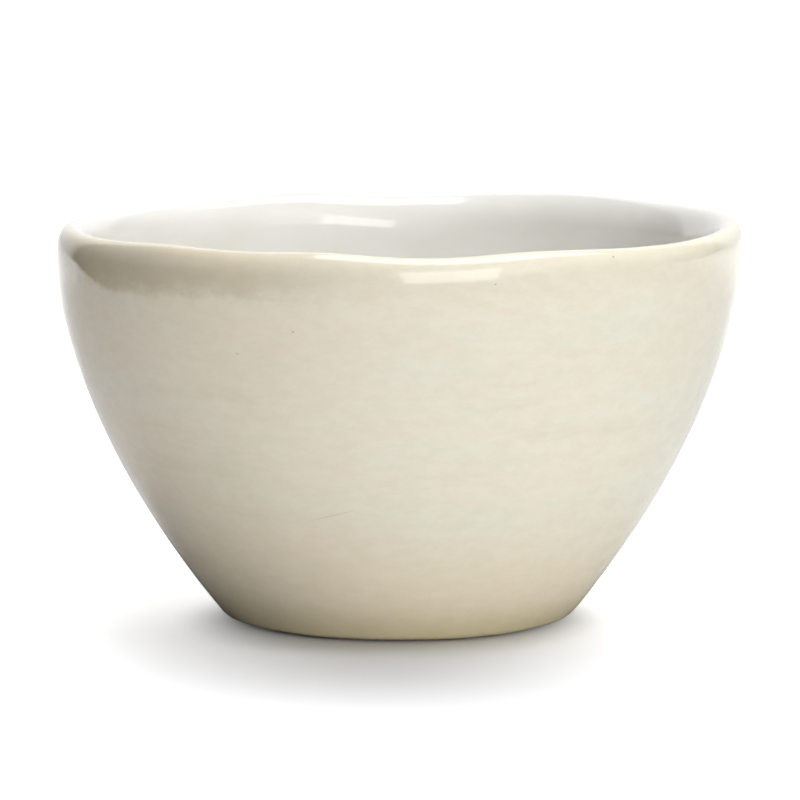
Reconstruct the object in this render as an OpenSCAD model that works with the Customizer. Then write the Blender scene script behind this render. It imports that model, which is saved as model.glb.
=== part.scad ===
// Prep bowl: a thrown stoneware body under two glazes, sand outside and white inside.
// The lip rises and dips as thrown by hand, and the bowl stands on a bare trimmed foot ring.

/* [Overall] */
// Widest diameter at the rim, over the glaze
rim_d = 120; // [100:1:150]
// Mean height of the lip's crest above the table, over the glaze
bowl_h = 69; // [56:1:90]
// Diameter at which the clay wall would meet the table
foot_d = 59.5; // [50:0.5:72]
// Thickness of each coat of glaze
glaze_t = 0.5; // [0.2:0.1:1]

/* [Wall] */
// Diameter of the corner that the wall's long curve rounds
belly_d = 107.2; // [92:0.2:118]
// Height of that corner above the table
belly_h = 29.5; // [22:0.5:38]
// Thickness of the clay wall at the belly
wall_t = 3.9; // [3:0.1:6]

/* [Lip] */
// Height of the lip outside, from its crest down to where the wall turns upright
lip_h = 7.4; // [6:0.2:12]
// Height of the lip inside, from its crest down to where the wall turns upright
inner_lip_h = 12.3; // [11:0.1:16]
// Thickness of the clay across the lip
lip_t = 4.5; // [3.4:0.1:6]
// How far the crest lies in from the lip's outside
crest_in = 2; // [1.4:0.1:2.6]
// How far down the crest's round reaches outside
crest_h = 4; // [2.5:0.1:5.5]
// How far down the crest's round reaches inside
inner_crest_h = 6; // [4:0.1:8]
// Height that a full rise of the hand-made crest adds
rim_wave = 1; // [0:0.1:2]
// How far the rim stands off the foot's axis, along X
rim_lean = 0.5; // [0:0.1:1.5]
// Height above which the wall leans and waves
sway_h = 20; // [14:1:40]

/* [Well] */
// Diameter at which the inner wall would meet the floor of the well
well_d = 59; // [46:0.5:70]
// Height of the clay floor of the well above the table
well_h = 7.5; // [5.5:0.1:12]
// Diameter of the flat in the middle of the well
well_flat_d = 20; // [8:1:34]

/* [Foot] */
// Reach of the round between the wall and the foot ring
foot_round = 2; // [1.2:0.1:3]
// Width of the bare ring that the bowl stands on
ring_w = 4.5; // [3:0.1:8]
// Depth of the recess inside the ring
recess_h = 2; // [1.2:0.1:3]
// Reach of the round in the recess's corner
recess_round = 1.2; // [0.4:0.1:1.2]

/* [Smoothness] */
// Sides of the bowl around its axis
sides = 64; // [48:4:72]
// Steps along the wall's curve
wall_steps = 6; // [4:1:8]
// Steps along the curve into the floor of the well
floor_steps = 6; // [4:1:8]
// Steps over each half of the crest
crest_steps = 5; // [3:1:6]
// Steps along each small round
round_steps = 2; // [2:1:4]

/* [Hidden] */
// How far a cut runs past the face that it opens
overrun = 1;

// Rises and dips of the crest: place and half width in degrees, then a share of rim_wave
crest_shares = [
    [0, 40, 0.5],
    [30, 34, 0.25],
    [57, 26, 0.7],
    [90, 18, -0.6],
    [111, 15, 0.3],
    [136, 32, -0.65],
    [168, 34, -0.35],
    [200, 30, -0.25],
    [226, 24, 0.3],
    [255, 16, 0.35],
    [275, 17, -0.4],
    [295, 17, 0.25],
    [318, 20, -0.2]
];
// Where the wall's curve ends on its way from the lip's corner to the belly's, on both sides
shoulder_share = 0.1;
// Where the inner wall's curve ends on its way from the belly's corner to the floor's
heel_share = 0.7;
// Which way the inner belly corner lies from the outer one, in wall thicknesses
inner_belly_shares = [-1.15, 0.75];
// How thin a coat of glaze is at its lower edge, and its full thickness
glaze_edge_shares = [0.25, 1];

// Corners of the clay's section and the points between them, as radius and height
rim_r = rim_d / 2 - glaze_t;
crest_z = bowl_h - glaze_t;
foot_corner = [foot_d / 2, 0];
belly_corner = [belly_d / 2, belly_h];
lip_corner = [rim_r, crest_z - lip_h];
rim_corner = [rim_r, crest_z];
inner_rim_corner = [rim_r - lip_t, crest_z];
inner_lip_corner = [rim_r - lip_t, crest_z - inner_lip_h];
inner_belly_corner = belly_corner + wall_t * inner_belly_shares;
well_corner = [well_d / 2, well_h];

foot_edge = foot_corner - [foot_round, 0];
foot_top = foot_corner + foot_round * unit(belly_corner - foot_corner);
foot_under = (foot_edge + foot_corner) / 2;
foot_side = (foot_corner + foot_top) / 2;
glaze_line = (foot_under + foot_side) / 2;
shoulder = lip_corner + shoulder_share * (belly_corner - lip_corner);
widest = [rim_r, crest_z - crest_h];
crest = [rim_r - crest_in, crest_z];
lip_inside = [rim_r - lip_t, crest_z - inner_crest_h];
inner_shoulder = inner_lip_corner + shoulder_share * (inner_belly_corner - inner_lip_corner);
neck = inner_lip_corner + [0, norm(inner_shoulder - inner_lip_corner)];
heel = inner_belly_corner + heel_share * (well_corner - inner_belly_corner);
well_flat = [well_flat_d / 2, well_h];

recess_r = foot_edge[0] - ring_w;
recess_wall_top = [recess_r, recess_h - recess_round];
recess_corner = [recess_r, recess_h];
recess_flat = [recess_r - recess_round, recess_h];

function unit(v) = v / norm(v);
function tail(list) = [for (i = [1:len(list) - 1]) list[i]];
function flip(list) = [for (i = [len(list) - 1:-1:0]) list[i]];

// The parabola that rounds corner b between a and c, moved out by a coat of glaze
function bend(a, b, c, steps, coat = 0, shares = [1, 1]) = [
    for (i = [0:steps])
        let (
            t = i / steps,
            along = unit((1 - t) * (b - a) + t * (c - b)),
            outward = [along[1], -along[0]],
            share = (1 - t) * shares[0] + t * shares[1]
        )
        (1 - t) * (1 - t) * a + 2 * t * (1 - t) * b + t * t * c + coat * share * outward
];

// The outside of the section, from the glaze line at the foot up to the crest
function outside(coat = 0) = concat(
    bend(glaze_line, foot_side, foot_top, round_steps, coat, glaze_edge_shares),
    tail(bend(foot_top, belly_corner, shoulder, wall_steps, coat)),
    tail(bend(shoulder, lip_corner, widest, round_steps, coat)),
    tail(bend(widest, rim_corner, crest, crest_steps, coat))
);

// The inside of the section, from the crest down to the flat of the well
function inside(coat = 0) = concat(
    bend(crest, inner_rim_corner, lip_inside, crest_steps, coat),
    bend(neck, inner_lip_corner, inner_shoulder, round_steps, coat),
    tail(bend(inner_shoulder, inner_belly_corner, heel, wall_steps, coat)),
    tail(bend(heel, well_corner, well_flat, floor_steps, coat))
);

// Height of the crest at an angle around the rim, as a share of rim_wave
function bell(x, half) = abs(x) < half ? pow(cos(90 * x / half), 2) : 0;
function turned(a, place) = (a - place + 540) % 360 - 180;
function wave(a) =
    let (rises = [for (s = crest_shares) s[2] * bell(turned(a, s[0]), s[1])])
    rises * [for (s = crest_shares) 1];

// A point of the section carried to an angle around the axis, with the rim's lean and wave
function around(p, a) =
    let (sway = pow(max(0, p[1] - sway_h) / (bowl_h - sway_h), 2))
    [p[0] * cos(a) + rim_lean * sway, p[0] * sin(a), p[1] + rim_wave * wave(a) * sway];

// A solid carried around the axis by its section: joined up as a ring, or capped at both ends
module loft(section, ring = false) {
    rows = len(section);
    turns = [for (i = [0:sides - 1]) i];
    points = [for (p = section, i = turns) around(p, 360 * i / sides)];
    skin = [
        for (j = [0:rows - (ring ? 1 : 2)], i = turns)
            let (
                row = j * sides,
                next_row = (j + 1) % rows * sides,
                k = (i + 1) % sides
            )
            each [
                [row + i, row + k, next_row + i],
                [row + k, next_row + k, next_row + i]
            ]
    ];
    caps = [flip(turns), [for (i = turns) (rows - 1) * sides + i]];
    polyhedron(points = points, faces = ring ? skin : concat(skin, caps));
}

module clay_body() {
    foot_turn = bend(foot_edge, foot_under, glaze_line, round_steps);
    outer = concat(foot_turn, tail(outside()));
    color([0.78, 0.71, 0.6])
        difference() {
            loft(concat(flip(inside()), tail(flip(outer))));
            recess();
        }
}

module recess() {
    corner = bend(recess_wall_top, recess_corner, recess_flat, floor_steps);
    rotate_extrude()
        polygon(concat([[0, -overrun], [recess_r, -overrun]], corner, [[0, recess_h]]));
}

module outer_glaze() {
    color([0.87, 0.84, 0.75])
        loft(concat(flip(outside(glaze_t)), outside()), ring = true);
}

module inner_glaze() {
    color([0.93, 0.92, 0.89])
        loft(concat(flip(inside(glaze_t)), inside()));
}

module base_glaze() {
    back = bend(recess_wall_top, recess_corner, recess_flat, floor_steps);
    face = bend(recess_wall_top, recess_corner, recess_flat, floor_steps, -glaze_t, glaze_edge_shares);
    color([0.87, 0.84, 0.75])
        rotate_extrude()
            polygon(concat(back, [[0, recess_h], [0, recess_h - glaze_t]], flip(face)));
}

clay_body();
outer_glaze();
inner_glaze();
base_glaze();
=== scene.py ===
import math
import bpy
import numpy as np
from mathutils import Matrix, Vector


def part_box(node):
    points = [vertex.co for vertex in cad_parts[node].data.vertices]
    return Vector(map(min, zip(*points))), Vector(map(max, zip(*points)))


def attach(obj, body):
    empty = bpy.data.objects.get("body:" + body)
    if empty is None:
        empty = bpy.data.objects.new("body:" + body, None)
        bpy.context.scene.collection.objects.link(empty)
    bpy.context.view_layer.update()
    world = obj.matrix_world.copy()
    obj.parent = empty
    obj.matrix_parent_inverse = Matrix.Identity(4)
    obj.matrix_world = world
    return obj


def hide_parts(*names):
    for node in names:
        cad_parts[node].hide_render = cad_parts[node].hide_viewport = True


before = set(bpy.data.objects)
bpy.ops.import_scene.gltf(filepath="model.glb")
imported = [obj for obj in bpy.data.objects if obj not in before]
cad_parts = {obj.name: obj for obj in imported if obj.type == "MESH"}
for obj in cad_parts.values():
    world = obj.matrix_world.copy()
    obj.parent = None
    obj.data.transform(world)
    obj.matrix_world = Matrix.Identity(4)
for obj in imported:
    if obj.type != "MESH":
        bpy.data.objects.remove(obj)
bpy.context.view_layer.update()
bpy.context.scene.view_settings.view_transform = "Standard"
mm = 0.001
fullTurn = 2 * math.pi
print("frame loaded:", ", ".join(sorted(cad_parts)))


class Wire:  # a shader socket that takes part in Python expressions
    def __init__(self, tree, socket=None):
        self.tree = tree
        self.socket = socket

    def node(self, kind, settings=None, inputs=None, output=0):
        made = self.tree.nodes.new(kind)
        for name, value in (settings or {}).items():
            setattr(made, name, value)
        for key, value in (inputs or {}).items():
            if isinstance(value, Wire):
                self.tree.links.new(value.socket, made.inputs[key])
            else:
                made.inputs[key].default_value = value
        return Wire(self.tree, made.outputs[output] if made.outputs else None)

    def out(self, name):  # another output of the same node
        return Wire(self.tree, self.socket.node.outputs[name])

    def math(self, operation, *others):
        values = dict(enumerate((self, *others)))
        return self.node("ShaderNodeMath", {"operation": operation}, values)

    def __add__(self, other):
        return self.math("ADD", other)

    def __sub__(self, other):
        return self.math("SUBTRACT", other)

    def __mul__(self, other):
        return self.math("MULTIPLY", other)

    def __pow__(self, other):
        return self.math("POWER", other)

    def __radd__(self, other):
        return self + other

    def __rmul__(self, other):
        return self * other

    def __rsub__(self, other):
        return self * -1 + other

    def rise(self, low, high):  # 0 below low, 1 above high, smooth between
        span = {"Value": self, "From Min": low, "From Max": high}
        return self.node("ShaderNodeMapRange", {"interpolation_type": "SMOOTHSTEP"}, span)

    def mix(self, first, second):  # a colour: first where this mask is 0, second where it is 1
        return self.node("ShaderNodeMix", {"data_type": "RGBA"}, {0: self, 6: first, 7: second}, 2)

    def times(self, other):  # a vector or colour, part by part
        return self.node("ShaderNodeVectorMath", {"operation": "MULTIPLY"}, {0: self, 1: other})

    def distance(self, point):
        return self.node("ShaderNodeVectorMath", {"operation": "DISTANCE"}, {0: self, 1: point}, "Value")

    def parts(self):  # x, y and z of a vector
        split = self.node("ShaderNodeSeparateXYZ", {}, {0: self})
        return [split.out(axis) for axis in "XYZ"]

    def noise(self, scale, detail=2, roughness=0.5, stretch=None, fade=None):
        # uneven patches at a place, squeezed along each axis, and as a mask where a fade is given
        place = self.times(stretch) if stretch else self
        made = self.node("ShaderNodeTexNoise", {}, {
            "Vector": place, "Scale": scale, "Detail": detail, "Roughness": roughness})
        return made.rise(*fade) if fade else made


def rgb(red, green, blue):
    return (red, green, blue, 1)


black = rgb(0, 0, 0)
fullWhite = rgb(1, 1, 1)


def newMaterial(name):
    material = bpy.data.materials.new(name)
    material.use_nodes = True
    material.node_tree.nodes.clear()
    start = Wire(material.node_tree)
    return material, start, start.node("ShaderNodeTexCoord", output="Object")


def surface(start, colour, roughness, normal):
    shader = start.node("ShaderNodeBsdfPrincipled", {}, {
        "Base Color": colour, "Roughness": roughness, "Normal": normal})
    start.node("ShaderNodeOutputMaterial", {}, {"Surface": shader})


def bump(height, depth):
    return height.node("ShaderNodeBump", {}, {"Height": height, "Distance": depth})


# The section of the bowl. Its points are complex numbers, radius + height * 1j.
outerLow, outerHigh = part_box("outer_glaze")
baseLow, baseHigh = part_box("base_glaze")
form = {
    "rimR": (outerHigh.y - outerLow.y) / 2,  # over the glaze
    "meanH": 69 * mm,  # mean height of the crest, over the glaze
    "glaze": 0.5 * mm,
    "thinEdge": 0.25,  # share of the glaze's thickness at its lower edge
    "footR": 29.75 * mm,
    "footRound": 2 * mm,
    "recessR": baseHigh.x,
    "recessH": baseHigh.z,
    "recessRound": baseHigh.z - baseLow.z,
    "belly": (53.6 * mm, 29.5 * mm),
    "wallT": 3.9 * mm,
    "innerBelly": (-1.15, 0.75),  # from the belly's corner, in wall thicknesses
    "lipH": 7.4 * mm,
    "innerLipH": 12.3 * mm,
    "lipT": 4.5 * mm,
    "crestIn": 2 * mm,
    "crestDrop": 4 * mm,
    "innerCrestDrop": 6 * mm,
    "shoulder": 0.1,  # share of the way from the lip's corner to the belly's
    "heel": 0.7,  # share of the way from the belly's corner to the floor's
    "well": (29.5 * mm, 7.5 * mm),
    "wellFlatR": 10 * mm,
    "poleR": 0.02 * mm,  # the smallest ring, around a pole
    "swayFrom": 20 * mm,  # the wall leans and waves above this height
    "cadSides": 64,  # sides of the frame's own rim
    "sides": 288,
}
rowCounts = {  # rows of points along each stretch of the section
    "foot": 10,
    "wall": 26,
    "shoulder": 5,
    "crest": 10,
    "neck": 3,
    "innerWall": 22,
    "heel": 14,
    "wellFlat": 6,
    "recess": 12,
    "recessFlat": 8,
    "ring": 34,
    "pool": 24,
    "poolFlat": 26,
    "finer": 3,  # how many times more the visible skin has
}
glaze = form["glaze"]
clayRimR = form["rimR"] - glaze
crestZ = form["meanH"] - glaze
crestR = clayRimR - form["crestIn"]
footCorner = complex(form["footR"], 0)
bellyCorner = complex(*form["belly"])
lipCorner = complex(clayRimR, crestZ - form["lipH"])
innerLipCorner = complex(clayRimR - form["lipT"], crestZ - form["innerLipH"])
innerBelly = bellyCorner + form["wallT"] * complex(*form["innerBelly"])
wellCorner = complex(*form["well"])
rimCorner = complex(clayRimR, crestZ)
innerRimCorner = rimCorner - form["lipT"]
footEdge = footCorner - form["footRound"]
footTop = footCorner + form["footRound"] * (bellyCorner - footCorner) / abs(bellyCorner - footCorner)
footUnder = (footEdge + footCorner) / 2
footSide = (footCorner + footTop) / 2
glazeLine = (footUnder + footSide) / 2
shoulder = lipCorner + form["shoulder"] * (bellyCorner - lipCorner)
widest = rimCorner - 1j * form["crestDrop"]
crest = complex(crestR, crestZ)
lipInside = innerRimCorner - 1j * form["innerCrestDrop"]
innerShoulder = innerLipCorner + form["shoulder"] * (innerBelly - innerLipCorner)
neck = innerLipCorner + 1j * abs(innerShoulder - innerLipCorner)
heel = innerBelly + form["heel"] * (wellCorner - innerBelly)
wellFlat = complex(form["wellFlatR"], wellCorner.imag)
wellPole = complex(form["poleR"], wellCorner.imag)
recessTop = complex(form["recessR"], form["recessH"] - form["recessRound"])
recessCorner = complex(form["recessR"], form["recessH"])
recessFlat = recessCorner - form["recessRound"]
turns = np.arange(form["sides"]) * fullTurn / form["sides"]


def crestOfFrame():  # the lean of the rim and the rises and dips of its crest, from the frame's own rim
    corners = np.array([v.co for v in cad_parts["outer_glaze"].data.vertices])
    corners = corners[np.argsort(corners[:, 2])]
    sides = form["cadSides"]
    spots = np.arctan2(corners[:, 1], corners[:, 0]) * sides / fullTurn
    spots = np.rint(spots).astype(int) % sides
    highest = dict(zip(spots, corners))  # the last corner at a spot stays
    ring = np.array([highest[spot] for spot in range(sides)])
    waves = np.fft.rfft(ring[:, 2] - form["meanH"]) / sides
    rise = np.full(len(turns), waves[0].real)
    for times, wave in enumerate(waves[1:-1], 1):
        rise += 2 * (wave * np.exp(1j * times * turns)).real
    return ring[:, 0].mean(), rise


rimLean, crestRise = crestOfFrame()
crestSpan = (form["meanH"] + np.array([crestRise.min(), crestRise.max()])) / mm
print("crest from %.2f to %.2f mm" % tuple(crestSpan))


def bend(a, b, c, steps, coat=0, begin=0, first=1):
    # the parabola that rounds corner b between a and c, moved out by a coat: points and outward normals
    t = np.linspace(0, 1, steps + 1)[first:, None]
    t = begin + (1 - begin) * t
    along = (1 - t) * (b - a) + t * (c - b)
    outward = -1j * along / abs(along)
    points = (1 - t) ** 2 * a + 2 * t * (1 - t) * b + t * t * c + coat * outward
    return np.stack(np.broadcast_arrays(points, outward))


def chain(*bends):
    width = max(part.shape[2] for part in bends)
    return np.concatenate([np.broadcast_to(part, part.shape[:2] + (width,)) for part in bends], axis=1)


def outside(coat, finer=1, begin=0):  # from the glaze line at the foot up to the crest
    return chain(
        bend(glazeLine, footSide, footTop, rowCounts["foot"] * finer, coat, begin, first=0),
        bend(footTop, bellyCorner, shoulder, rowCounts["wall"] * finer, coat),
        bend(shoulder, lipCorner, widest, rowCounts["shoulder"] * finer, coat),
        bend(widest, rimCorner, crest, rowCounts["crest"] * finer, coat))


def inside(coat, finer=1):  # from below the crest down to the middle of the well
    return chain(
        bend(crest, innerRimCorner, lipInside, rowCounts["crest"] * finer, coat),
        bend(lipInside, (lipInside + neck) / 2, neck, rowCounts["neck"] * finer, coat),
        bend(neck, innerLipCorner, innerShoulder, rowCounts["shoulder"] * finer, coat),
        bend(innerShoulder, innerBelly, heel, rowCounts["innerWall"] * finer, coat),
        bend(heel, wellCorner, wellFlat, rowCounts["heel"] * finer, coat),
        bend(wellFlat, (wellFlat.conjugate() + wellFlat) / 4 + 1j * wellFlat.imag, wellPole,
             rowCounts["wellFlat"] * finer, coat))


def carry(points):  # points of the section carried around the axis, with the rim's lean and wave
    sway = (np.clip(points.imag - form["swayFrom"], 0, None) / (form["meanH"] - form["swayFrom"])) ** 2
    x = points.real * np.cos(turns) + rimLean * sway
    y = points.real * np.sin(turns)
    return np.stack(np.broadcast_arrays(x, y, points.imag + crestRise * sway), axis=-1)


def lumps(place, look, count=14, spread=(0.7, 1.5)):
    # a smooth uneven field in space, mostly between -1 and 1
    draw = np.random.default_rng(look["seed"])
    total = np.zeros(place.shape[:-1])
    for _ in range(count):
        way = draw.normal(size=3)
        way *= fullTurn / (np.linalg.norm(way) * look["reach"] * draw.uniform(*spread))
        total += np.sin(place @ way + draw.uniform(0, fullTurn))
    return total / math.sqrt(count)


def smooth(share):
    share = np.clip(share, 0, 1)
    return share * share * (3 - 2 * share)


def gridNormals(rows):  # outward normals of a grid of points that goes once around the axis
    around = np.roll(rows, -1, axis=1) - np.roll(rows, 1, axis=1)
    normals = np.cross(around, np.gradient(rows, axis=0))
    return normals / np.linalg.norm(normals, axis=-1, keepdims=True)


def makePiece(name, rows, shown, normals, material, ringed=False):
    # a closed mesh from rows of points: joined up as a ring, or closed at both ends by a pole
    count, sides = rows.shape[:2]
    index = np.arange(count * sides).reshape(count, sides)
    after = np.roll(index, -1, axis=1)
    quads = np.stack([index, after, np.roll(after, -1, axis=0), np.roll(index, -1, axis=0)], axis=-1)
    points = rows.reshape(-1, 3).tolist()
    faces = (quads if ringed else quads[:-1]).reshape(-1, 4).tolist()
    if not ringed:
        points += [rows[0].mean(axis=0).tolist(), rows[-1].mean(axis=0).tolist()]
        faces += [[count * sides, b, a] for a, b in zip(index[0], after[0])]
        faces += [[count * sides + 1, a, b] for a, b in zip(index[-1], after[-1])]
    mesh = bpy.data.meshes.new(name)
    mesh.from_pydata(points, [], faces)
    mesh.shade_smooth()
    # the rows that show are smooth, with the grid's own normals, and hidden faces stay flat
    flat = np.empty(len(faces) * 3)
    mesh.polygons.foreach_get("normal", flat)
    flat = flat.reshape(-1, 3)
    known = np.full((count, sides, 3), np.nan)
    known[shown] = normals
    known = np.concatenate([known.reshape(-1, 3), flat[[-sides - 1, -1]]])  # each pole's own at the end
    vertex = np.concatenate(faces)
    owner = np.repeat(np.arange(len(faces)), [len(face) for face in faces])
    hidden = np.bincount(owner, np.isnan(known[vertex, 0])) > 0
    shows = ~hidden[owner]
    corners = flat[owner]
    corners[shows] = known[vertex[shows]]
    mesh.normals_split_custom_set(corners)
    piece = bpy.data.objects.new(name, mesh)
    bpy.context.scene.collection.objects.link(piece)
    mesh.materials.append(material)
    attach(piece, "root")
    print("%s: %d faces" % (name, len(faces)))
    return piece


# Finishes
gloss = {  # both glazes' skin
    "roughness": 0.05,
    "roughnessRise": 0.05,
    "peel": {"scale": 700},
    "peelShare": 0.3,
    "dappleShare": 0.7,
    "depth": 0.004 * mm,
}
whiteGlaze = {
    "white": rgb(0.83, 0.823, 0.787),
    "shade": rgb(0.805, 0.787, 0.737),
    "cloud": {"scale": 60, "detail": 4, "stretch": (1, 1, 2), "fade": (0.35, 0.65)},
    "dapple": {"scale": 200, "detail": 3},
}
seam = {  # where the two glazes meet on the crest
    "r": (crestR - 1.8 * mm, crestR),
    "z": (crestZ - 3 * mm, crestZ),
    "lap": 1.6 * mm,  # the liner laps over by so much more at the back
    "lapY": (-20 * mm, 25 * mm),
}
sandGlaze = {
    "cream": rgb(0.825, 0.811, 0.69),
    "beige": rgb(0.862, 0.776, 0.628),
    "cloud": {"scale": 60, "detail": 3, "stretch": (0.5, 0.5, 1.8), "fade": (0.38, 0.62)},
    "cloudShare": 0.4,
    "blotch": {
        "scale": 150, "detail": 5, "roughness": 0.65, "stretch": (1, 1, 2.2), "fade": (0.38, 0.62)},
    "blotchShare": 0.2,
    "leftX": (-26 * mm, 8 * mm),  # the left side is beiger
    "leftShare": 0.5,
    "fleck": rgb(0.955, 0.945, 0.925),  # how much darker a fleck is than what it lies on
    "mottle": {"scale": 260, "detail": 4, "roughness": 0.75, "stretch": (1, 1, 2), "fade": (0.3, 0.7)},
    "streak": rgb(0.72, 0.665, 0.52),
    "brush": {"scale": 34, "detail": 4, "roughness": 0.6, "stretch": (1, 1, 9), "fade": (0.5, 0.75)},
    "brushed": {"scale": 45, "fade": (0.42, 0.62)},  # the stretches that have streaks
    "streakShare": 0.3,
    "dapple": {"scale": 220, "detail": 3, "stretch": (1, 1, 2)},
}
wallZones = {  # where the coat thins and its colour turns, from the foot up, and where shade is painted in at the foot and on the lip
    # darker and yellower towards the foot: partly the glaze's own tone where it runs thick, partly
    # painted shade close to the floor
    "foot": rgb(0.745, 0.66, 0.435),
    "footZ": (0, 9 * mm),
    "warm": rgb(0.868, 0.782, 0.62),
    "warmZ": (11 * mm, 24 * mm),
    "warmWander": 2 * mm,
    # the lip darker and tanner all round: partly the thinner coat there, partly painted shade where the
    # lip mirrors the dark room instead of the floor
    "lip": rgb(0.80, 0.733, 0.56),
    "lipZ": (crestZ - 10 * mm, crestZ - 4 * mm),
    "lipShare": 0.25,
    "tan": rgb(0.66, 0.595, 0.445),  # painted shade: the lip's left darker, where it mirrors the dark left of the room
    "tanZ": (crestZ - 7.2 * mm, crestZ - 3.6 * mm),
    "tanWander": 1.5 * mm,
    "tanFray": 0.5 * mm,
    "tanShare": 0.85,
    "tanX": (-44 * mm, 2 * mm),  # fades towards the right
    "tanRightLoss": 0.9,
    "tanTopZ": (crestZ - 3.2 * mm, crestZ - 1 * mm),  # and towards the crest
    "tanTopLoss": 0.75,
    "crest": rgb(0.81, 0.753, 0.60),  # where it runs over onto the liner
    "pittedZ": (crestZ - 20 * mm, crestZ - 6 * mm),  # more pinholes up there
}
hairline = {
    "colour": rgb(0.60, 0.44, 0.33),
    "turn": math.radians(-103),
    "height": 24.5 * mm,
    "slope": 0.28,
    "halfLong": (1.1 * mm, 5.5 * mm),  # where it starts to fade and where it ends
    "halfWide": 0.16 * mm,
    "share": 0.45,
}
pinholes = {
    "colour": rgb(0.24, 0.19, 0.12),
    "cells": 120,  # per metre
    "unrollR": 45 * mm,  # the wall's radius, as the cells see it
    "radius": 0.2 * mm,
    "heart": 0.3,  # share of the radius that is fully dark
    "chosen": (0.96, 0.98),  # the cells with a draw above this have one
    "pittedGain": 0.1,
    "share": 0.55,
    "depth": 3,  # against the peel's
}
pooledGlaze = {"tint": 0.3, "patchTint": 0.4, "pitted": 0.3}  # in the recess under the foot


def radiusOf(x, y):
    return (x * x + y * y) ** 0.5


def linerColour(place):
    return place.noise(**whiteGlaze["cloud"]).mix(whiteGlaze["white"], whiteGlaze["shade"])


def sandShare(y, radius):  # 1 where the sand glaze is on top at the crest, 0 where the liner is
    return (radius - y.rise(*seam["lapY"]) * seam["lap"]).rise(*seam["r"])


def glazeSurface(start, place, colour, dappleLook, dents=0):
    dapple = place.noise(**dappleLook)
    height = place.noise(**gloss["peel"]) * gloss["peelShare"] + dapple * gloss["dappleShare"] - dents
    roughness = gloss["roughness"] + gloss["roughnessRise"] * dapple
    surface(start, colour, roughness, bump(height, gloss["depth"]))


def wallColour(place, colour, blotch, mottle):  # the sand glaze's zones from foot to crest, with painted shade at the foot and on the lip
    x, y, z = place.parts()
    zones = wallZones
    warm = 1 - (z + blotch * zones["warmWander"]).rise(*zones["warmZ"])
    colour = warm.mix(colour, zones["warm"])
    # darker and yellower towards the foot: partly the glaze's tone, partly painted shade close to the
    # floor
    colour = (1 - z.rise(*zones["footZ"])).mix(colour, zones["foot"])
    # lip: partly its thinner coat, partly painted shade where it mirrors the dark room
    colour = (z.rise(*zones["lipZ"]) * zones["lipShare"]).mix(colour, zones["lip"])
    # painted shade on the lip's left, its lower edge wandering like the edge of the mirrored room
    tanHeight = z + blotch * zones["tanWander"] + mottle * zones["tanFray"]
    tan = tanHeight.rise(*zones["tanZ"]) * zones["tanShare"]
    tan = tan * (1 - zones["tanRightLoss"] * x.rise(*zones["tanX"]))
    tan = tan * (1 - zones["tanTopLoss"] * z.rise(*zones["tanTopZ"]))
    colour = tan.mix(colour, zones["tan"])
    liner = (1 - sandShare(y, radiusOf(x, y))) * z.rise(*seam["z"])
    return liner.mix(colour, linerColour(place))


def hairlineMask(place):
    x, y, z = place.parts()
    along = (y.math("ARCTAN2", x) - hairline["turn"]) * radiusOf(x, y)
    across = z - hairline["height"] - along * hairline["slope"]
    mark = 1 - across.math("ABSOLUTE").rise(0, hairline["halfWide"])
    return mark * (1 - along.math("ABSOLUTE").rise(*hairline["halfLong"]))


def pinholeMask(turn, height, pitted):
    flat = turn.node("ShaderNodeCombineXYZ", {}, {0: turn * pinholes["unrollR"], 1: height})
    cell = turn.node("ShaderNodeTexVoronoi", {"voronoi_dimensions": "2D"}, {
        "Vector": flat, "Scale": pinholes["cells"]})
    draw = turn.node("ShaderNodeSeparateColor", {}, {0: cell.out("Color")})
    reach = pinholes["radius"] * pinholes["cells"]
    chosen = (draw + pinholes["pittedGain"] * pitted).rise(*pinholes["chosen"])
    return (1 - cell.rise(reach * pinholes["heart"], reach)) * chosen


def sandMaterial(name, pooled=False):
    material, start, place = newMaterial(name)
    x, y, z = place.parts()
    blotch = place.noise(**sandGlaze["blotch"])
    mottle = place.noise(**sandGlaze["mottle"])
    cloud = place.noise(**sandGlaze["cloud"])
    patch = cloud * sandGlaze["cloudShare"] + blotch * sandGlaze["blotchShare"]
    patch = patch + sandGlaze["leftShare"] * (1 - x.rise(*sandGlaze["leftX"]))
    colour = patch.mix(sandGlaze["cream"], sandGlaze["beige"])
    streak = place.noise(**sandGlaze["brush"]) * place.noise(**sandGlaze["brushed"])
    colour = (streak * sandGlaze["streakShare"]).mix(colour, sandGlaze["streak"])
    turn = y.math("ARCTAN2", x)
    if pooled:
        colour = (patch * pooledGlaze["patchTint"] + pooledGlaze["tint"]).mix(colour, wallZones["foot"])
        pit = pinholeMask(turn, radiusOf(x, y), pooledGlaze["pitted"])
    else:
        colour = wallColour(place, colour, blotch, mottle)
        colour = (hairlineMask(place) * hairline["share"]).mix(colour, hairline["colour"])
        pit = pinholeMask(turn, z, z.rise(*wallZones["pittedZ"]))
    colour = colour.times(mottle.mix(fullWhite, sandGlaze["fleck"]))
    colour = (pit * pinholes["share"]).mix(colour, pinholes["colour"])
    glazeSurface(start, place, colour, sandGlaze["dapple"], pit * pinholes["depth"])
    return material


def whiteMaterial():
    material, start, place = newMaterial("whiteGlaze")
    x, y, z = place.parts()
    sand = sandShare(y, radiusOf(x, y)) * z.rise(*seam["z"])
    colour = sand.mix(linerColour(place), wallZones["crest"])
    glazeSurface(start, place, colour, whiteGlaze["dapple"])
    return material


stoneware = {
    "clay": rgb(0.62, 0.52, 0.40),
    "toast": rgb(0.50, 0.38, 0.26),
    "toasted": {"scale": 90, "detail": 5, "roughness": 0.6, "fade": (0.35, 0.7)},
    "grog": rgb(0.26, 0.19, 0.13),
    "grogs": {"scale": 800, "detail": 1, "fade": (0.66, 0.74)},
    "grit": {"scale": 1500},
    "gritShare": 0.6,
    "toastShare": 0.4,
    "depth": 0.06 * mm,
    "roughness": 0.72,
    "roughnessRise": 0.16,
}


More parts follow.
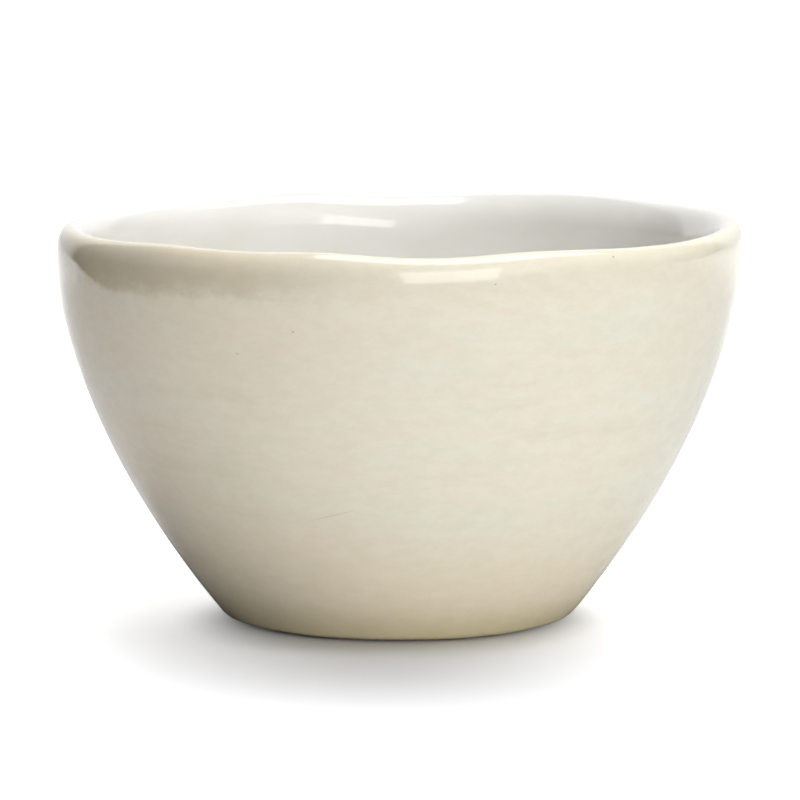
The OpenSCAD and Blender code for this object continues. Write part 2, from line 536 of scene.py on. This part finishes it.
def clayMaterial():
    material, start, place = newMaterial("bareStoneware")
    toast = place.noise(**stoneware["toasted"])
    grit = place.noise(**stoneware["grit"])
    colour = toast.mix(stoneware["clay"], stoneware["toast"])
    colour = place.noise(**stoneware["grogs"]).mix(colour, stoneware["grog"])
    height = grit * stoneware["gritShare"] + toast * stoneware["toastShare"]
    roughness = stoneware["roughness"] + stoneware["roughnessRise"] * grit
    surface(start, colour, roughness, bump(height, stoneware["depth"]))
    return material


# Glazes, one skin over the lip from the foot to the middle of the well
hand = {  # how uneven the thrown wall and its dipped glaze are
    "swell": {"height": 0.10 * mm, "reach": 42 * mm, "seed": 1},
    "lump": {"height": 0.022 * mm, "reach": 12 * mm, "seed": 2},
    "rings": {"height": 0.018 * mm, "innerHeight": 0.035 * mm, "pitch": 4.6 * mm, "crestFade": 12 * mm},
    "ringPatch": {"least": 0.6, "share": 0.4, "reach": 30 * mm, "seed": 3},
    "ringWander": {"share": 0.8, "reach": 60 * mm, "seed": 5},
    "thickLip": {  # on the inside, at the back right
        "height": 1.1 * mm, "turn": math.radians(30), "from": 1.2 * mm, "to": 7.5 * mm, "fade": 36 * mm},
    "tuck": {"height": 0.11 * mm, "reach": 4 * mm},  # keeps the widest ring inside the CAD box
    "bead": {"height": 0.12 * mm, "wide": 0.9 * mm},  # of glaze along the lower edge
    "edgeFade": 4 * mm,  # nothing else is uneven right at that edge
    "poleFade": 6 * mm,  # and little in the middle of the well
    "poleLeast": 0.05,
    "edgeWander": 0.35,  # how far up the foot's bend the lower edge may lie
    "edgeWaves": ((3, 1, 1), (7, 0, 0.6), (16, 0, 0.4)),  # times around, start, share
}
edgeWave = sum(share * np.sin(times * turns + start) for times, start, share in hand["edgeWaves"])
edgeBegin = hand["edgeWander"] * (0.5 + 0.25 * edgeWave)

outerSkin = outside(glaze, rowCounts["finer"], edgeBegin)
outerRows = outerSkin.shape[1]
points, outward = chain(outerSkin, inside(glaze, rowCounts["finer"]))
run = np.cumsum(np.abs(np.diff(points, axis=0, prepend=points[:1])), axis=0)  # length along the section
down = run - run[outerRows - 1]  # and from the crest, down the inside
widestRun = run[points.real.argmax(axis=0)[0]]
thinner = (1 - form["thinEdge"]) * np.clip(1 - run / form["footRound"], 0, 1)
points = points - outward * glaze * thinner
place = carry(points)

uneven = hand["swell"]["height"] * lumps(place, hand["swell"])
uneven += hand["lump"]["height"] * lumps(place, hand["lump"])
rings, patch, wander = hand["rings"], hand["ringPatch"], hand["ringWander"]
spin = run * fullTurn / rings["pitch"] + turns + wander["share"] * lumps(place, wander)
ringHeight = np.where(np.arange(len(run)) < outerRows, rings["height"], rings["innerHeight"])[:, None]
ringHeight = ringHeight * (patch["least"] + patch["share"] * lumps(place, patch))
uneven += ringHeight * np.sin(spin) * np.clip(abs(down) / rings["crestFade"], 0, 1)
lip = hand["thickLip"]
below = smooth((down - lip["from"]) / (lip["to"] - lip["from"]))
below = below * np.clip(1 - (down - lip["to"]) / lip["fade"], 0, 1)
uneven += lip["height"] * below * (0.5 + 0.5 * np.cos(turns - lip["turn"])) ** 2
uneven -= hand["tuck"]["height"] * np.exp(-((run - widestRun) / hand["tuck"]["reach"]) ** 2)
uneven *= np.clip(run / hand["edgeFade"], 0, 1)
uneven *= np.clip(points.real / hand["poleFade"], hand["poleLeast"], 1)
bead = hand["bead"]
uneven += bead["height"] * np.exp(-((run - bead["wide"]) / bead["wide"]) ** 2)
skinRows = carry(points + uneven * outward)
skinNormals = gridNormals(skinRows)

outerBack = carry(outside(0, begin=edgeBegin)[0][::-1])
outerGlaze = makePiece(
    "outerGlaze", np.concatenate([skinRows[:outerRows], outerBack]), slice(0, outerRows),
    skinNormals[:outerRows], sandMaterial("sandGlaze"), ringed=True)
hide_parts("outer_glaze")

innerRows = skinRows[outerRows - 1:]
innerBack = carry(np.concatenate([inside(0)[0][::-1], [[crest]]]))  # ends where the two coats meet
innerGlaze = makePiece(
    "innerGlaze", np.concatenate([innerBack, innerRows]),
    slice(len(innerBack), len(innerBack) + len(innerRows)),
    skinNormals[outerRows - 1:], whiteMaterial())
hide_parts("inner_glaze")

# Clay body, whose bare ring shows under the foot
trim = {
    "groove": 0.07 * mm,
    "pitch": 0.55 * mm,
    "wander": {"share": 1.5, "reach": 9 * mm, "seed": 8},
    "plainIn": 1,  # rows without grooves at the ring's inner and outer edge
    "plainOut": 3,
}
recessSide = bend(recessTop, recessCorner, recessFlat, rowCounts["recess"], first=0)[0][::-1]
recessFloor = np.linspace(form["poleR"], recessFlat.real, rowCounts["recessFlat"])[:-1, None]
recessFloor = recessFloor + 1j * form["recessH"]
ringFlat = np.linspace(form["recessR"], footEdge.real, rowCounts["ring"])[:, None] + 0j
footTurn = bend(footEdge, footUnder, glazeLine, rowCounts["foot"])[0]
clayRows = [recessFloor, recessSide, ringFlat, footTurn, outside(0)[0][1:], inside(0)[0]]
clayPoints = np.concatenate([np.broadcast_to(part, (len(part), len(turns))) for part in clayRows])
bareFrom = len(recessFloor) + len(recessSide)
bareTo = bareFrom + len(ringFlat) + len(footTurn)
bare = np.zeros((len(clayPoints), 1))
bare[bareFrom + trim["plainIn"]:bareTo - trim["plainOut"]] = 1
cutWander = trim["wander"]["share"] * lumps(carry(clayPoints), trim["wander"])
cut = np.sin(fullTurn * clayPoints.real / trim["pitch"] + turns + cutWander)
grooves = trim["groove"] * np.clip(cut, 0, 1) * bare
clayPlaces = carry(clayPoints + 1j * grooves)
clayBody = makePiece(
    "clayBody", clayPlaces, slice(bareFrom, bareTo), gridNormals(clayPlaces[bareFrom:bareTo]),
    clayMaterial())
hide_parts("clay_body")

# Base glaze, pooled in the recess
pool = {"height": 0.05 * mm, "reach": 14 * mm, "seed": 11, "poleFade": 4 * mm, "poleLeast": 0.05}
edgePoints, edgeOutward = bend(recessTop, recessCorner, recessFlat, rowCounts["pool"], first=0)
edgeShare = np.linspace(form["thinEdge"], 1, len(edgePoints))[:, None]
poolFlat = np.linspace(form["poleR"], recessFlat.real, rowCounts["poolFlat"])[:-1, None]
poolFlat = poolFlat + 1j * (form["recessH"] - glaze)
poolPoints = np.concatenate([poolFlat, (edgePoints + edgeOutward * glaze * edgeShare)[::-1]])
poolPoints = np.broadcast_to(poolPoints, (len(poolPoints), len(turns)))
poolSwell = lumps(carry(poolPoints), pool)
poolSwell *= np.clip(poolPoints.real / pool["poleFade"], pool["poleLeast"], 1)
poolRows = carry(poolPoints + 1j * pool["height"] * poolSwell)
poolBack = carry(np.concatenate([recessSide[::-1], recessFloor[::-1]]))
baseGlaze = makePiece(
    "baseGlaze", np.concatenate([poolRows, poolBack]), slice(0, len(poolRows)),
    gridNormals(poolRows), sandMaterial("pooledSandGlaze", pooled=True))
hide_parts("base_glaze")

# Floor, lamps and surroundings
floorLook = {
    "reach": 14,
    "leftEdge": (-0.27, -0.3),  # a corner of the floor, and the glaze mirrors the dark left of it
    "leftSlope": -0.35,  # behind the corner that edge slants away
    "pale": rgb(0.75, 0.75, 0.75),
    "seen": rgb(0.735, 0.742, 0.765),  # a little cool, against the bowl's warm light on it
    "dim": rgb(0.55, 0.55, 0.55),  # painted shadow: the floor's colour darker close under the bowl, at its left, so it throws back less light there
    "dimAt": (-50 * mm, -14 * mm, 0),
    "dimR": (15 * mm, 62 * mm),
    "white": 0.9,  # how far the floor's own glow lifts it to white
    "shadeAt": (1 * mm, -62 * mm, 0),  # that glow is least there, where the bowl's shadow falls
    "shadeR": (-5 * mm, 105 * mm),
    "contactAt": (-1 * mm, -9 * mm, 0),  # and it fades towards the foot
    "contactR": (20 * mm, 40 * mm),
    "behind": (0.1, 0.5),  # the glaze mirrors that glow only so far behind the bowl
}


def mirrorRay(path):  # 1 for what the glaze mirrors, and for what a clear piece would show
    return path.out("Is Glossy Ray") + path.out("Is Transmission Ray")


def floorMaterial():
    material, start, place = newMaterial("paleFloor")
    path = start.node("ShaderNodeLightPath")
    y = place.parts()[1]
    shade = place.distance(floorLook["shadeAt"]).rise(*floorLook["shadeR"])
    contact = place.distance(floorLook["contactAt"]).rise(*floorLook["contactR"])
    shown = path.out("Is Camera Ray") + mirrorRay(path) * y.rise(*floorLook["behind"])
    glow = shown * (shade * contact * floorLook["white"])
    glowing = start.node("ShaderNodeEmission", {}, {"Color": glow.mix(black, fullWhite)})
    # painted shadow under the bowl's left, only in the light the floor throws back; the camera sees the
    # seen colour
    bright = place.distance(floorLook["dimAt"]).rise(*floorLook["dimR"])
    colour = bright.mix(floorLook["dim"], floorLook["pale"])
    colour = path.out("Is Camera Ray").mix(colour, floorLook["seen"])
    pale = start.node("ShaderNodeBsdfDiffuse", {}, {"Color": colour})
    shader = start.node("ShaderNodeAddShader", {}, {0: pale, 1: glowing})
    start.node("ShaderNodeOutputMaterial", {}, {"Surface": shader})
    return material


def makeFloor():
    mesh = bpy.data.meshes.new("floor")
    far = floorLook["reach"]
    left, corner = floorLook["leftEdge"]
    leftBack = left + floorLook["leftSlope"] * (far - corner)
    outline = [(left, -far), (far, -far), (far, far), (leftBack, far), (left, corner)]
    mesh.from_pydata([(x, y, 0) for x, y in outline], [], [range(len(outline))])
    mesh.materials.append(floorMaterial())
    floor = bpy.data.objects.new("floor", mesh)
    bpy.context.scene.collection.objects.link(floor)


middle = Vector((0, 0, 0.05))
panels = {  # degrees around from the camera and up from the table, metres, and brightness against white
    "frontPanel": {"around": 16, "up": 9.5, "away": 1.3, "wide": 0.68, "high": 0.56, "glow": 3.78},
    "keyPanel": {"around": 76, "up": 80, "away": 1.1, "wide": 1.0, "high": 1.0, "glow": 4.8},
}


def towards(around, up):  # the way to a place around the bowl, as the panels give it
    around, up = math.radians(around), math.radians(up)
    return Vector((math.sin(around) * math.cos(up), -math.cos(around) * math.cos(up), math.sin(up)))


def makeLamp(name, panel):
    data = bpy.data.lights.new(name, "AREA")
    data.shape = "RECTANGLE"
    data.size = panel["wide"]
    data.size_y = panel["high"]
    data.energy = math.pi * panel["wide"] * panel["high"] * panel["glow"]
    lamp = bpy.data.objects.new(name, data)
    bpy.context.scene.collection.objects.link(lamp)
    lamp.location = middle + panel["away"] * towards(panel["around"], panel["up"])
    lamp.rotation_euler = (middle - lamp.location).to_track_quat("-Z", "Y").to_euler()
    lamp.visible_camera = False


room = {  # soft light from around, as brightness against white, and the glaze mirrors white behind
    "side": {"around": 30, "up": 10, "spread": 0.22, "full": 0, "glow": 1.6},
    "behind": {"around": 180, "up": 10, "spread": 0.3, "full": 0.18, "glow": 1.0},
}


def makeRoom():
    world = bpy.data.worlds.new("studio")
    world.use_nodes = True
    world.node_tree.nodes.clear()
    start = Wire(world.node_tree)
    way = start.node("ShaderNodeTexCoord", output="Generated")
    shades, shaders = {}, {}
    for index, (name, wall) in enumerate(room.items()):
        aimed = {0: way, 1: towards(wall["around"], wall["up"])}
        facing = start.node("ShaderNodeVectorMath", {"operation": "DOT_PRODUCT"}, aimed, "Value")
        shades[name] = facing.rise(1 - wall["spread"], 1 - wall["full"])
        shaders[index] = start.node("ShaderNodeBackground", {}, {
            "Color": shades[name].mix(black, fullWhite), "Strength": wall["glow"]})
    walls = start.node("ShaderNodeAddShader", {}, shaders)
    white = start.node("ShaderNodeBackground", {}, {"Color": fullWhite})
    path = start.node("ShaderNodeLightPath")
    shown = path.out("Is Camera Ray") + mirrorRay(path) * shades["behind"]
    shader = start.node("ShaderNodeMixShader", {}, {0: shown, 1: walls, 2: white})
    start.node("ShaderNodeOutputWorld", {}, {"Surface": shader})
    bpy.context.scene.world = world


makeFloor()
for name, panel in panels.items():
    makeLamp(name, panel)
makeRoom()
print("floor, %d lamps and surroundings made" % len(panels))

# Camera
view = {"place": (0, -0.8, 0.14595), "dip": 7.712, "lens": 206.70, "sensor": 36, "shiftX": 0.0027}
cameraData = bpy.data.cameras.new("camera")
cameraData.sensor_width = view["sensor"]
cameraData.lens = view["lens"]
cameraData.shift_x = view["shiftX"]
camera = bpy.data.objects.new("camera", cameraData)
camera.location = view["place"]
camera.rotation_euler = (math.radians(90 - view["dip"]), 0, 0)
bpy.context.scene.collection.objects.link(camera)
bpy.context.scene.camera = camera
